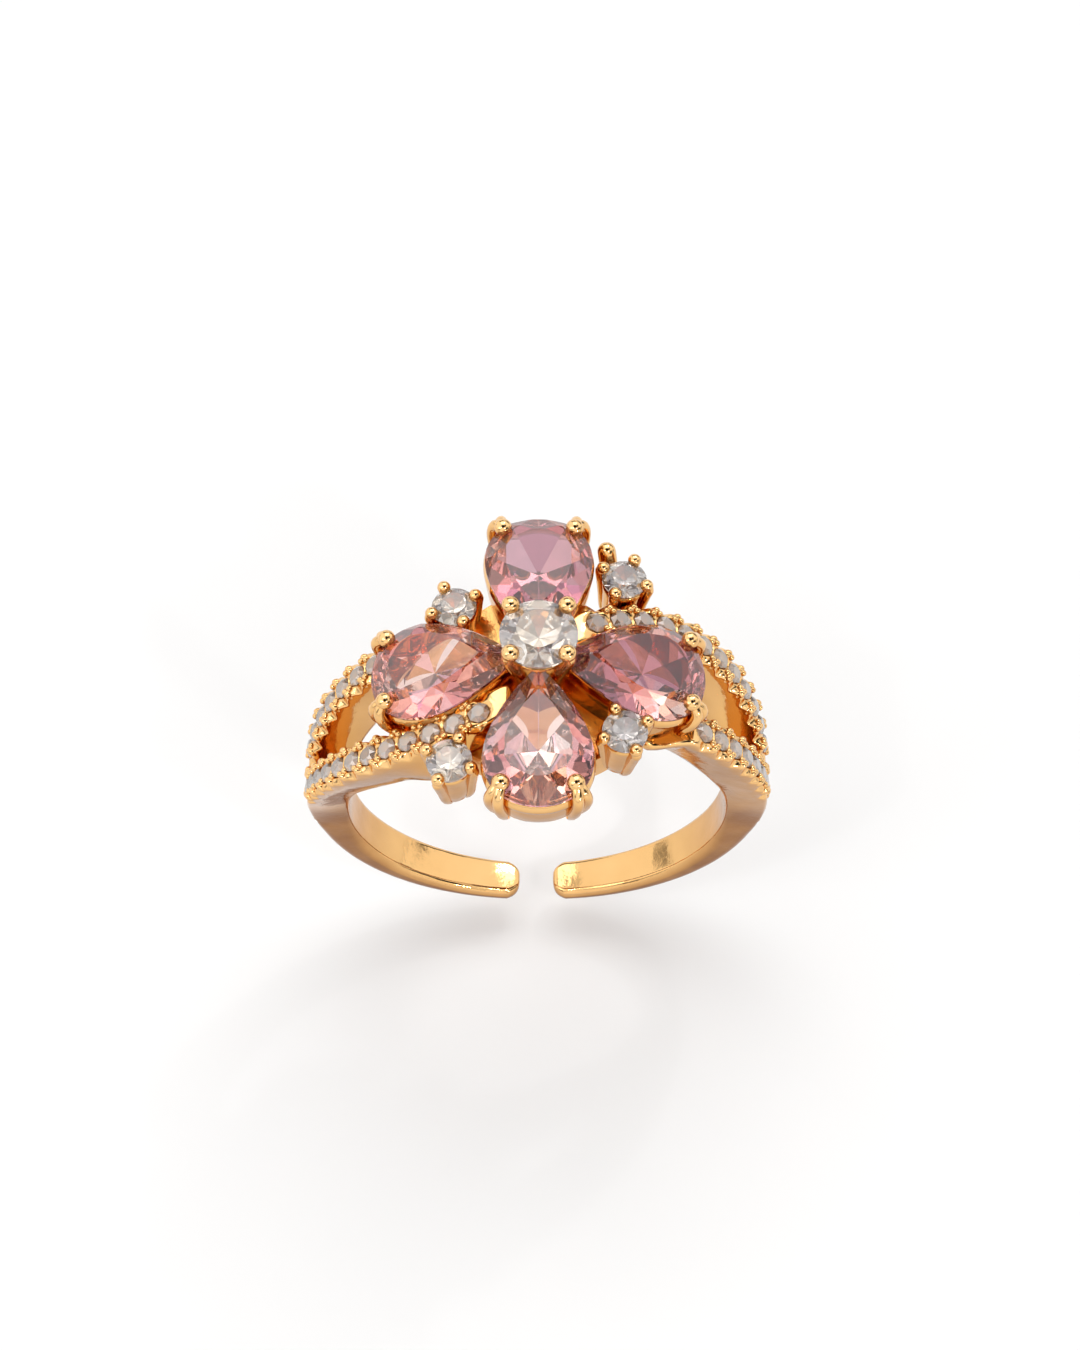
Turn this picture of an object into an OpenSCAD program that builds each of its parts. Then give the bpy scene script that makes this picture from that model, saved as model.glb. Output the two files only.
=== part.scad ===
// Open cocktail ring: a four-petal flower of pear-cut stones on a split, stone-set band.
//
// Frame: the origin is the centre of the finger hole, +Y runs along the finger, +Z points up to
// the flower and +X to the right. But for one stay at the back, the ring is the same after half
// a turn about Z, so each left or front piece is its right or back partner turned by 180 degrees.
// All sizes are in mm.

/* [Finger hole and band] */
// Inside diameter of the band
finger_d = 17.7; // [17.3:0.1:18.1]
// Width of the plain band
band_w = 2.26; // [2.0:0.02:2.5]
// Width of the band at its tips
tip_w = 1.86; // [1.6:0.02:2.0]
// Thickness of the band beside the finger
side_t = 1.8; // [1.6:0.05:2.0]
// Height of the outer circle's centre above the hole's, which thins the band towards its tips
rim_shift = 1.0; // [0.6:0.05:1.1]
// Open gap between the two tips
tip_gap = 1.7; // [1.5:0.1:4]

/* [Split shoulders] */
// Angle above the horizontal where the band splits in two
split_a = 10.5; // [10:0.5:12]
// Width of each stone-set branch
branch_w = 1.66; // [1.5:0.02:1.7]
// Sideways bow of the branches that run through under the centre stone
through_bow = 3.0; // [2.9:0.05:3.1]
// Sideways spread of the branches that end under the side petals
side_spread = 1.42; // [1.3:0.02:1.5]

/* [Petal stones] */
// Length of a pear stone
pear_l = 6.8; // [6.7:0.05:6.9]
// Width of a pear stone
pear_w = 4.8; // [4.6:0.05:4.9]
// Distance of the side petals' round ends from the centre
side_reach = 7.35; // [7.3:0.05:7.6]
// Height of the side petals' round ends above the finger hole
side_rise = 1.4; // [1.3:0.05:1.6]
// Slope of the side petals, down towards the fingers
side_tilt = 17; // [15:1:18]
// Distance of the front and back petals' round ends from the centre
end_reach = 7.3; // [7.25:0.05:7.6]
// Height of the front and back petals' round ends above the finger hole
end_rise = 3.15; // [3.1:0.05:3.3]
// Slope of the front and back petals
end_tilt = 3; // [1:1:4]

/* [Centre and accent stones] */
// Diameter of the centre stone
centre_d = 3.4; // [3:0.1:3.5]
// Height of the centre stone's girdle above the finger hole
centre_rise = 5.2; // [5.1:0.05:5.4]
// Diameter of an accent stone
accent_d = 2.0; // [1.8:0.1:2.1]
// Height of the accent stones' girdles above the finger hole
accent_rise = 2.35; // [2.2:0.05:2.5]
// Outward lean of the accent heads
accent_lean = 6; // [4:1:8]
// Diameter of a small stone in the branches
pave_d = 1.0; // [0.9:0.05:1.05]
// Spacing of the small stones along a branch
pave_pitch = 1.16; // [1.12:0.01:1.3]

/* [Claws] */
// Radius of a petal claw's round head
claw_r = 0.40; // [0.36:0.02:0.42]
// Radius of an accent claw's round head
accent_claw_r = 0.29; // [0.24:0.01:0.32]

/* [Bend points] */
// Angle below the horizontal where each arm of the open band bends
bend_a = 8; // [7:1:10]
// Working clearance at the bend
bend_gap = 0.04; // [0.03:0.01:0.06]

/* [Hidden] */

gold = [0.86, 0.66, 0.36];
pink = [0.88, 0.52, 0.60, 0.75];
clear = [0.88, 0.90, 0.95, 0.7];

finger_r = finger_d / 2;
rim_r = norm([finger_r + side_t, rim_shift]);
gallery_r = finger_r + 1.35;

through_reach = 95;         // angle that a through branch's bow spans, from the top down
through_power = 0.637;      // brings the widest point of the bow up towards the flower
through_end = 84;
side_start = 0.35;
side_quarter = 60;
side_end = 63;
side_row_end = 53;
side_step = 56;            // from here a side branch runs on low, under the petal stone
branch_knee = 47;          // where a through branch is drawn from a second direction
bend_r = (outer_at(-bend_a) + finger_r) / 2;
barrel_r = (outer_at(-bend_a) - finger_r) / 2 - bend_gap;
bend_at = [bend_r * cos(bend_a), 0, -bend_r * sin(bend_a)];

// ---------------------------------------------------------------- shapes of the band

// Radius of the metal's outer surface at angle a above the horizontal
function outer_at(a) = rim_shift * sin(a) + sqrt(rim_r * rim_r - pow(rim_shift * cos(a), 2));

// Point at angle a, radius r from the finger's axis, and y along it
function on_ring(a, r, y) = [r * cos(a), y, r * sin(a)];

function mix(a, b, t) = a + (b - a) * t;
function ease(t) = t * t * (3 - 2 * t);

// Middle line of the through branch and of the side branch on the right-hand half
function through_y(a) = through_bow * sin(180 * pow((90 - a) / through_reach, through_power));
function side_y(a) = -side_start - side_spread * sin(90 * a / side_quarter);

// Back and front edges of the right shoulder, from the plain band up to the split, where they
// run on smoothly into the branches: slope is how fast a branch's middle line moves there
function rise_t(a) = (a + bend_a) / (split_a + bend_a);
function lead(a, slope) = slope * (split_a + bend_a) * pow(rise_t(a), 2) * (rise_t(a) - 1);
through_slope = through_y(split_a + 0.5) - through_y(split_a - 0.5);
side_slope = side_y(split_a + 0.5) - side_y(split_a - 0.5);
function shoulder_back(a) =
    mix(band_w / 2, through_y(split_a) + branch_w / 2, ease(rise_t(a))) + lead(a, through_slope);
function shoulder_front(a) =
    mix(-band_w / 2, side_y(split_a) - branch_w / 2, ease(rise_t(a))) + lead(a, side_slope);

// Front and back edges of each branch, as functions of the angle
through_lo = function(a) through_y(a) - branch_w / 2;
through_hi = function(a) through_y(a) + branch_w / 2;
side_lo = function(a) side_y(a) - branch_w / 2;
side_hi = function(a) side_y(a) + branch_w / 2;
shoulder_lo = function(a) shoulder_front(a);
shoulder_hi = function(a) shoulder_back(a);

// Everything between the radial planes at angles a0 and a1
module between(a0, a1) {
    far = 16;
    rotate([90, 0, 0]) linear_extrude(12, center = true)
        polygon([[0, 0], [far * cos(a0), far * sin(a0)], [far * cos(a1), far * sin(a1)]]);
}

// Stretch of band from angle a0 to a1 with edges lo(a) and hi(a), drawn straight out along angle aim
module rail(a0, a1, aim, lo, hi) {
    over = 3;
    count = ceil((a1 - a0) / 3.2);
    angles = [for (i = [0:count]) mix(a0 - over, a1 + over, i / count)];
    function along(a) = outer_at(a) * sin(aim - a);
    intersection() {
        rim_cylinder();
        between(a0, a1);
        rotate([0, 90 - aim, 0]) linear_extrude(16) polygon(concat(
            [for (a = angles) [along(a), lo(a)]],
            [for (i = [count:-1:0]) [along(angles[i]), hi(angles[i])]]
        ));
    }
}

// The outer circle of the band, as a true cylinder
module rim_cylinder() {
    translate([0, 0, rim_shift]) rotate([90, 0, 0]) cylinder(h = 12, r = rim_r, center = true, $fn = 180);
}

// Solid through a list of equal rings of points, closed by its first and last ring
module sweep(rings) {
    n = len(rings[0]);
    last = len(rings) - 1;
    polyhedron(
        points = [for (ring = rings) for (p = ring) p],
        faces = concat(
            [[for (i = [0:n - 1]) i], [for (i = [n - 1:-1:0]) last * n + i]],
            [for (k = [0:last - 1]) for (i = [0:n - 1]) let (j = (i + 1) % n)
                [k * n + j, k * n + i, (k + 1) * n + j]],
            [for (k = [0:last - 1]) for (i = [0:n - 1]) let (j = (i + 1) % n)
                [(k + 1) * n + j, k * n + i, (k + 1) * n + i]]
        )
    );
}

// The finger hole, as a true cylinder
module finger_hole(r = finger_r) {
    rotate([90, 0, 0]) cylinder(h = 30, r = r, center = true, $fn = 180);
}

module half_turn() { rotate([0, 0, 180]) children(); }

module through_branch_body() {
    rail(split_a, branch_knee, 30, through_lo, through_hi);
    rail(branch_knee, through_end, 67, through_lo, through_hi);
}

module side_branch_body() {
    difference() {
        rail(split_a, side_end, 35, side_lo, side_hi);
        difference() {
            between(side_step, side_end + 5);
            finger_hole(gallery_r);
        }
    }
}

// ---------------------------------------------------------------- rows of small stones

function through_p(a) = on_ring(a, outer_at(a), through_y(a));
function side_p(a) = on_ring(a, outer_at(a), side_y(a));
function through_speed(a) = norm(through_p(a + 0.5) - through_p(a - 0.5));
function side_speed(a) = norm(side_p(a + 0.5) - side_p(a - 0.5));

// Angles of the stones along each branch, one pitch apart
function through_row(a) =
    a > through_end - seat_span ? [] : concat([a], through_row(a + pave_pitch / through_speed(a)));
function side_row(a) =
    a > side_row_end ? [] : concat([a], side_row(a + pave_pitch / side_speed(a)));

seat_span = 2.9;            // angle that half a seat takes up
first_gap = 3.6;
through_seats = through_row(split_a + first_gap);
side_seats = side_row(split_a + first_gap);
shoulder_seats = [for (i = [0:2]) split_a - 3.2 - 5.9 * i];
shoulder_mid = [for (a = shoulder_seats) (shoulder_back(a) + shoulder_front(a)) / 2];

// Places its children at angle a and y, with +Z pointing out of the metal
module at_seat(a, y) {
    translate(on_ring(a, outer_at(a), y)) rotate([0, 90 - a, 0]) children();
}

pave_sink = 0.06;
bead_r = 0.17;
seat_gap = 0.02;

// Round brilliant of diameter d, girdle in the XY plane
module brilliant(d, n) {
    crown = 0.15 * d;
    pavilion = 0.42 * d;
    girdle = 0.02 * d;
    hull() {
        translate([0, 0, crown]) rotate(180 / n) cylinder(h = 0.001, d = 0.57 * d, $fn = n);
        translate([0, 0, 0.62 * crown]) cylinder(h = 0.001, d = 0.82 * d, $fn = n);
        translate([0, 0, -girdle]) cylinder(h = 2 * girdle, d = d, $fn = 2 * n);
        translate([0, 0, -0.8 * pavilion]) rotate(180 / n) cylinder(h = 0.001, d = 0.24 * d, $fn = n);
        translate([0, 0, -pavilion]) cylinder(h = 0.001, d = 0.02 * d, $fn = 4);
    }
}

// Small stone of a row: a table, eight crown facets and a pointed pavilion
module small_stone() {
    translate([0, 0, -pave_sink]) rotate(22.5) {
        cylinder(h = 0.15 * pave_d, d1 = pave_d, d2 = 0.6 * pave_d, $fn = 8);
        translate([0, 0, -0.42 * pave_d]) cylinder(h = 0.42 * pave_d, d1 = 0.02, d2 = pave_d, $fn = 8);
    }
}

// Seat for one small stone, cut into the metal
module small_seat() {
    d = pave_d + 2 * seat_gap;
    translate([0, 0, -pave_sink - 0.02]) cylinder(h = 1, d = d, $fn = 24);
    translate([0, 0, -pave_sink - 0.02 - 0.46 * d]) cylinder(h = 0.46 * d, d1 = 0.08, d2 = d, $fn = 24);
}

// ---------------------------------------------------------------- gems

// Outline of a pear stone: t = 0 is the point, on +X, and t = 180 the round end. grow widens it.
function pear_at(t, grow, z) =
    let (k = 1 + 2 * grow / pear_w)
    [k * pear_l / 2 * cos(t), k * pear_w / 2 / 0.77 * sin(t) * sin(abs(t) / 2), z];

pear_culet = [-0.17 * pear_l / 2, 0];
pear_crown = 0.78;
pear_pavilion = 1.75;
pear_girdle = 0.05;

function pear_ring(count, offset, size, z) =
    [for (i = [0:count - 1])
        let (t = -180 + 360 * (i + offset) / count, p = pear_at(t, 0, 0))
        [mix(pear_culet.x, p.x, size), mix(pear_culet.y, p.y, size), z]];

// Pear-cut stone, girdle in the XY plane
module pear_stone() {
    points = concat(
        pear_ring(10, 0, 0.60, pear_crown),
        pear_ring(10, 0.5, 0.83, 0.60 * pear_crown),
        pear_ring(32, 0, 1, pear_girdle),
        pear_ring(32, 0, 1, -pear_girdle),
        pear_ring(10, 0.5, 0.30, -0.80 * pear_pavilion),
        [[pear_culet.x, pear_culet.y, -pear_pavilion]]
    );
    hull() polyhedron(points = points, faces = [for (i = [1:len(points) - 2]) [0, i, i + 1]]);
}

// ---------------------------------------------------------------- settings

// Straight wire from a to b, with a ball of radius ball at b
module wire(a, b, ra, rb, ball) {
    v = b - a;
    translate(a) rotate([0, acos(v.z / norm(v)), atan2(v.y, v.x)])
        cylinder(h = norm(v), r1 = ra, r2 = rb, $fn = 24);
    translate(b) sphere(r = ball, $fn = 24);
}

collet_depth = 2.1;
claw_head = [-2.55, 1.6, 0.60];     // along, across and above the stone's girdle
claw_knees = [[-2.94, 1.98, -0.05], [-3.24, 1.58, -0.05]];
claw_feet = [[-2.52, 1.86], [-2.98, 1.34]];
strand_r = 0.27;

// Wall of a petal setting, as [grow, z] round its cross-section
collet_wall = [
    [-0.10, -0.18], [0.02, -0.12], [0.08, -0.50], [-0.14, -collet_depth],
    [-0.55, -collet_depth], [-0.52, -0.72]
];

module collet() {
    n = 40;
    m = len(collet_wall);
    polyhedron(
        points = [for (w = collet_wall) for (i = [0:n - 1]) pear_at(-180 + 360 * i / n, w.x, w.y)],
        faces = concat(
            [for (k = [0:m - 1]) for (i = [0:n - 1]) let (j = (i + 1) % n, q = (k + 1) % m)
                [k * n + i, k * n + j, q * n + j]],
            [for (k = [0:m - 1]) for (i = [0:n - 1]) let (j = (i + 1) % n, q = (k + 1) % m)
                [k * n + i, q * n + j, q * n + i]]
        )
    );
}

// The two outer claws of a petal, each with two strands that meet under its round head
module petal_claws() {
    for (s = [-1, 1]) {
        head = [claw_head.x, s * claw_head.y, claw_head.z];
        for (i = [0, 1]) {
            knee = [claw_knees[i].x, s * claw_knees[i].y, claw_knees[i].z];
            foot = [claw_feet[i].x, s * claw_feet[i].y, -collet_depth];
            wire(foot, knee, strand_r, strand_r, strand_r + 0.02);
            wire(knee, head, strand_r, strand_r, claw_r);
        }
    }
}

module petal_setting_body() {
    collet();
    petal_claws();
}

// Places a petal that points at the centre along +X from its round end at [-reach, 0, z]
module at_petal(turn, reach, rise, tilt) {
    rotate(turn) translate([reach, 0, finger_r + rise]) rotate([0, tilt, 0])
        translate([-pear_l / 2, 0, 0]) rotate(180) children();
}

module at_side_petal() { at_petal(0, side_reach, side_rise, side_tilt) children(); }
module at_end_petal() { at_petal(90, end_reach, end_rise, end_tilt) children(); }

centre_well = 1.2;

module centre_well_cut() { cylinder(h = 30, r = centre_well, $fn = 60); }

module side_petal_setting() {
    difference() {
        at_side_petal() petal_setting_body();
        centre_well_cut();
        finger_hole(gallery_r);
        through_branch_body();
        through_grains();
        side_branch_body();
    }
}

module end_petal_setting() {
    difference() {
        at_end_petal() petal_setting_body();
        centre_well_cut();
        finger_hole(gallery_r);
        through_branch_body();
    }
}

// Head for a round accent stone, girdle in the XY plane: a deep cup that narrows to its foot
accent_depth = 3.4;
accent_out = 0.75;

module accent_head() {
    difference() {
        translate([0, 0, -accent_depth]) {
            cylinder(h = 0.8, r1 = 0.48, r2 = 0.76, $fn = 32);
            translate([0, 0, 0.8]) cylinder(h = accent_depth - 1.1, r1 = 0.76, r2 = 0.95, $fn = 32);
        }
        translate([0, 0, -1.05]) cylinder(h = 0.8, r1 = 0.02, r2 = 0.76, $fn = 32);
    }
    for (x = [-1, 1]) for (y = [-1, 1])
        wire([x * 0.32, y * 0.32, -accent_depth + 0.2], [x * accent_out, y * accent_out, 0.2],
            0.22, accent_claw_r * 0.88, accent_claw_r);
}

// Places an accent head at [x, y], leaning outward and turned about its own axis
module at_accent(x, y, turn) {
    out = atan2(y, x);
    translate([x, y, finger_r + accent_rise])
        rotate([0, 0, out]) rotate([0, accent_lean, 0]) rotate([0, 0, turn - out]) children();
}

band_accent = [3.83, 4.66];
side_accent = [3.75, -3.17];
accent_turn = 20;

module at_band_accent() { at_accent(band_accent.x, band_accent.y, accent_turn) children(); }
module at_side_accent() { at_accent(side_accent.x, side_accent.y, -accent_turn) children(); }

module band_accent_setting() {
    difference() {
        union() {
            at_band_accent() accent_head();
            // bridge to the branch
            wire([3.75, 4.4, 9.2], [3.5, 3.2, 9.2], 0.45, 0.45, 0.47);
            children();
        }
        finger_hole();
        through_branch_body();
        at_end_petal() collet_core();
    }
}

// Post behind the back right accent, beside the back petal
module stay() {
    wire([3.35, 4.9, 9.0], [3.05, 6.2, 11.15], 0.40, 0.40, 0.42);
}

module side_accent_setting() {
    difference() {
        at_side_accent() accent_head();
        finger_hole();
        gallery_plate();
        side_branch_body();
        at_side_petal() collet_core();
    }
}

// Outer volume of a petal's collet, to trim what meets it
module collet_core() {
    n = 40;
    sweep([for (w = [collet_wall[3], collet_wall[2], collet_wall[1]])
        [for (i = [0:n - 1]) pear_at(-180 + 360 * i / n, w.x, w.y)]]);
}

// ---------------------------------------------------------------- pieces on the right-hand half

module arm() {
    difference() {
        union() {
            intersection() {
                // the outside, an offset circle with rounded edges
                translate([0, 0, rim_shift]) rotate([90, 0, 0]) rotate_extrude($fn = 180)
                    rim_profile(bend_gap);
                arm_plan();
                arm_below_bend();
            }
            translate(bend_at) rotate([90, 0, 0])
                cylinder(h = band_w - 0.3, r = barrel_r, center = true, $fn = 48);
        }
        finger_hole();
    }
}

// Half of the band's outer profile, drawn from the ring's axis
module rim_profile(inset) {
    r = rim_r - inset;
    h = band_w / 2;
    e = 0.42;
    polygon(concat(
        [[0, -h]],
        [for (q = [0:15:90]) [r - e + e * sin(q), -h + e - e * cos(q)]],
        [for (q = [90:-15:0]) [r - e + e * sin(q), h - e + e * cos(q)]],
        [[0, h]]
    ));
}

// Outline of the right arm seen from above: tapered, with rounded corners at the tip
module arm_plan() {
    x0 = tip_gap / 2;
    rc = 0.75;
    translate([0, 0, -20]) linear_extrude(20) {
        polygon([[x0 + rc, -tip_w / 2], [12, -band_w / 2], [12, band_w / 2], [x0 + rc, tip_w / 2]]);
        translate([x0, -tip_w / 2 + rc]) square([rc + 0.1, tip_w - 2 * rc]);
        for (s = [-1, 1]) translate([x0 + rc, s * (tip_w / 2 - rc)]) circle(r = rc, $fn = 32);
    }
}

// Everything below the radial plane through the bend point
module arm_below_bend() {
    rotate([0, bend_a, 0]) translate([-15, -5, -30]) cube([30, 10, 30]);
}

module shoulder() {
    difference() {
        rail(-bend_a, split_a, 1, shoulder_lo, shoulder_hi);
        finger_hole();
        translate(bend_at) rotate([90, 0, 0])
            cylinder(h = 6, r = barrel_r + bend_gap, center = true, $fn = 48);
        for (i = [0:len(shoulder_seats) - 1]) at_seat(shoulder_seats[i], shoulder_mid[i]) small_seat();
    }
}

// Grains raised on both sides of each gap between the small stones
module grains(seats, mid) {
    for (i = [0:len(seats) - 2]) for (s = [-1, 1]) {
        a = (seats[i] + seats[i + 1]) / 2;
        at_seat(a, mid(a) + s * (branch_w / 2 - 0.26)) sphere(r = bead_r, $fn = 16);
    }
}

module through_grains() { grains(through_seats, function(a) through_y(a)); }

module through_branch() {
    through_grains();
    difference() {
        through_branch_body();
        finger_hole();
        for (a = through_seats) at_seat(a, through_y(a)) small_seat();
    }
}

module side_branch() {
    grains(side_seats, function(a) side_y(a));
    difference() {
        side_branch_body();
        finger_hole();
        for (a = side_seats) at_seat(a, side_y(a)) small_seat();
    }
}

module through_pave() { for (a = through_seats) at_seat(a, through_y(a)) small_stone(); }
module side_pave() { for (a = side_seats) at_seat(a, side_y(a)) small_stone(); }
module shoulder_pave() {
    for (i = [0:len(shoulder_seats) - 1]) at_seat(shoulder_seats[i], shoulder_mid[i]) small_stone();
}

// ---------------------------------------------------------------- middle of the flower

module gallery_plate() {
    intersection() {
        finger_hole(gallery_r);
        translate([0, 0, 5]) linear_extrude(10) {
            circle(r = 4.6, $fn = 64);
            offset(r = 0.7, $fn = 32) square([9.0, 3.0], center = true);
        }
    }
}

module gallery() {
    color(gold) difference() {
        gallery_plate();
        finger_hole();
        for (s = [0, 180]) rotate(s) {
            through_branch_body();
            side_branch_body();
        }
        // light holes behind the stones
        for (s = [0, 180]) rotate(s) {
            at_side_petal() translate([-0.6, 0, -8]) cylinder(h = 8, r = 1.1, $fn = 32);
            at_end_petal() translate([0.45, 0, -8]) cylinder(h = 8, r = 0.95, $fn = 32);
        }
    }
}

module centre_setting() {
    z = finger_r + centre_rise;
    color(gold) difference() {
        union() {
            // boss that stands on the gallery, below the points of the petals
            translate([0, 0, 9]) cylinder(h = z - 2.15 - 9, r1 = 1.0, r2 = 1.12, $fn = 48);
            // seat ring under the stone
            translate([0, 0, z - 0.88]) rotate_extrude($fn = 48) translate([1.12, 0]) square([0.3, 0.26]);
            for (x = [-1, 1]) for (y = [-1, 1])
                wire([x * 0.72, y * 0.72, z - 2.7], [x * 1.24, y * 1.24, z + 0.45],
                    0.31, claw_r * 0.85, claw_r);
        }
        finger_hole(gallery_r);
        cylinder(h = 30, r = 0.35, $fn = 24);
    }
}

// ---------------------------------------------------------------- pieces, by name

module left_arm() { color(gold) half_turn() arm(); }
module right_arm() { color(gold) arm(); }
module left_shoulder() { color(gold) half_turn() shoulder(); }
module right_shoulder() { color(gold) shoulder(); }
module left_front_branch() { color(gold) half_turn() through_branch(); }
module right_back_branch() { color(gold) through_branch(); }
module left_back_branch() { color(gold) half_turn() side_branch(); }
module right_front_branch() { color(gold) side_branch(); }
module left_petal_setting() { color(gold) half_turn() side_petal_setting(); }
module right_petal_setting() { color(gold) side_petal_setting(); }
module front_petal_setting() { color(gold) half_turn() end_petal_setting(); }
module back_petal_setting() { color(gold) end_petal_setting(); }
module front_left_accent_setting() { color(gold) half_turn() band_accent_setting(); }
module back_right_accent_setting() { color(gold) band_accent_setting() stay(); }
module back_left_accent_setting() { color(gold) half_turn() side_accent_setting(); }
module front_right_accent_setting() { color(gold) side_accent_setting(); }
module left_petal_stone() { color(pink) half_turn() at_side_petal() pear_stone(); }
module right_petal_stone() { color(pink) at_side_petal() pear_stone(); }
module front_petal_stone() { color(pink) half_turn() at_end_petal() pear_stone(); }
module back_petal_stone() { color(pink) at_end_petal() pear_stone(); }
module centre_stone() {
    color(clear) translate([0, 0, finger_r + centre_rise]) brilliant(centre_d, 8);
}
module front_left_accent_stone() { color(clear) half_turn() at_band_accent() brilliant(accent_d, 8); }
module back_right_accent_stone() { color(clear) at_band_accent() brilliant(accent_d, 8); }
module back_left_accent_stone() { color(clear) half_turn() at_side_accent() brilliant(accent_d, 8); }
module front_right_accent_stone() { color(clear) at_side_accent() brilliant(accent_d, 8); }
module left_front_pave_stones() { color(clear) half_turn() through_pave(); }
module right_back_pave_stones() { color(clear) through_pave(); }
module left_back_pave_stones() { color(clear) half_turn() side_pave(); }
module right_front_pave_stones() { color(clear) side_pave(); }
module left_shoulder_pave_stones() { color(clear) half_turn() shoulder_pave(); }
module right_shoulder_pave_stones() { color(clear) shoulder_pave(); }

left_arm();
right_arm();
left_shoulder();
right_shoulder();
left_front_branch();
left_back_branch();
right_front_branch();
right_back_branch();
gallery();
left_petal_setting();
right_petal_setting();
front_petal_setting();
back_petal_setting();
centre_setting();
front_left_accent_setting();
front_right_accent_setting();
back_left_accent_setting();
back_right_accent_setting();
left_petal_stone();
right_petal_stone();
front_petal_stone();
back_petal_stone();
centre_stone();
front_left_accent_stone();
front_right_accent_stone();
back_left_accent_stone();
back_right_accent_stone();
left_front_pave_stones();
left_back_pave_stones();
right_front_pave_stones();
right_back_pave_stones();
left_shoulder_pave_stones();
right_shoulder_pave_stones();
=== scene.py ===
"""Open cocktail ring: the looks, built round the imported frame.

Every length below is in millimetres and is turned into metres when a mesh is made. Angles are in
degrees, and those of places on the band run up from +X. But for one stay at the back the ring is the
same after half a turn about Z, so each piece of the right-hand half is also made turned.
"""
import math

import bmesh
import bpy
from mathutils import Matrix, Vector


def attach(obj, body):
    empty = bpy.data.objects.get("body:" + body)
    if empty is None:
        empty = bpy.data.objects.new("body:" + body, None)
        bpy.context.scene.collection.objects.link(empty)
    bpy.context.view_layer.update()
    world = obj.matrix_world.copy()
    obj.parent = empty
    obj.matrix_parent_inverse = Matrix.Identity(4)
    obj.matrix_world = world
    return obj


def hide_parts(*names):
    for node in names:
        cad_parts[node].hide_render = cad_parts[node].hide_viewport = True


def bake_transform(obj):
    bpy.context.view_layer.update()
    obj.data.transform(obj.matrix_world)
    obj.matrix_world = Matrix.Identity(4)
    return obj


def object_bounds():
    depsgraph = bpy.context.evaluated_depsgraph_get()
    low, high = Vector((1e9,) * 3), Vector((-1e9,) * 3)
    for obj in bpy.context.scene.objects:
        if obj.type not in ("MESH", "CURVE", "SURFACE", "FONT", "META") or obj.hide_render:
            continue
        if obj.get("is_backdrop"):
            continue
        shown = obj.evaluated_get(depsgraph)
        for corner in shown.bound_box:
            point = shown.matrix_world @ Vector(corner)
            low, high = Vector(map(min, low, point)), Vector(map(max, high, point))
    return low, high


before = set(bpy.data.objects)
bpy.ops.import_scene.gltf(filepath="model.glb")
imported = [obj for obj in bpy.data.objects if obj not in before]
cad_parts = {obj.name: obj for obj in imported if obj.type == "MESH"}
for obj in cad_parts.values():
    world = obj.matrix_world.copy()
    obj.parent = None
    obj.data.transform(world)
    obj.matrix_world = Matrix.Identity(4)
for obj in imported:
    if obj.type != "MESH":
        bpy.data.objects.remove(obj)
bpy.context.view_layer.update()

MM = 0.001

# ------------------------------------------------------------------ sizes, as in the CAD model

FINGER_R = 8.85
SIDE_T, RIM_SHIFT = 1.8, 1.0
RIM_R = math.hypot(FINGER_R + SIDE_T, RIM_SHIFT)
BAND_W, TIP_W, TIP_GAP = 2.26, 1.86, 1.7
SPLIT_A, BEND_A = 10.5, 8.0  # the split, above the horizontal, and the arm's hinge, below it
BRANCH_W = 1.66
GALLERY_R = FINGER_R + 1.35

# Middle line of the long (through) branch: how far it bows, over how many degrees, and where it ends
THROUGH_BOW, THROUGH_REACH, THROUGH_POWER, THROUGH_END = 3.0, 95.0, 0.637, 84.0
# Middle line of the short (side) branch, and the angles where it ends, its row ends and it steps down
SIDE_START, SIDE_SPREAD, SIDE_QUARTER = 0.35, 1.42, 60.0
SIDE_END, SIDE_ROW_END, SIDE_STEP = 63.0, 53.0, 56.0

# Small stones: degrees from the long branch's end to its last seat, and from the split to the seats around it
SEAT_SPAN, FIRST_GAP, SHOULDER_GAP, SHOULDER_PITCH = 2.9, 3.6, 3.2, 5.9
PAVE_D, PAVE_PITCH, PAVE_SINK = 1.0, 1.16, 0.06

PEAR_L, PEAR_W = 6.8, 4.8
SIDE_PETAL = dict(reach=7.35, rise=1.4, tilt=17.0)
END_PETAL = dict(reach=7.3, rise=3.15, tilt=3.0)
CULET_X = -0.17 * PEAR_L / 2
COLLET_DEPTH = 2.1

CENTRE_D, CENTRE_RISE = 3.4, 5.2
ACCENT_D, ACCENT_RISE, ACCENT_LEAN, ACCENT_TURN = 2.0, 2.35, 6.0, 20.0
BAND_ACCENT, SIDE_ACCENT = (3.83, 4.66), (3.75, -3.17)
ACCENT_DEPTH, ACCENT_OUT = 3.4, 0.75
CLAW_R, ACCENT_CLAW_R = 0.40, 0.30


def sin(degrees):
    return math.sin(math.radians(degrees))


def cos(degrees):
    return math.cos(math.radians(degrees))


def mix(a, b, t):
    return a + (b - a) * t


def ease(t):
    t = min(max(t, 0.0), 1.0)
    return t * t * (3 - 2 * t)


def turn_z(degrees):
    return Matrix.Rotation(math.radians(degrees), 4, "Z")


def turn_y(degrees):
    return Matrix.Rotation(math.radians(degrees), 4, "Y")


def move(x, y, z):
    return Matrix.Translation((x, y, z))


HALF_TURN = turn_z(180)


def outer_at(a):
    """Radius of the metal's outer surface at angle a above the horizontal."""
    return RIM_SHIFT * sin(a) + math.sqrt(RIM_R**2 - (RIM_SHIFT * cos(a)) ** 2)


def on_ring(a, r, y):
    return Vector((r * cos(a), y, r * sin(a)))


def through_y(a):
    return THROUGH_BOW * sin(180 * ((90 - a) / THROUGH_REACH) ** THROUGH_POWER)


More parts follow.
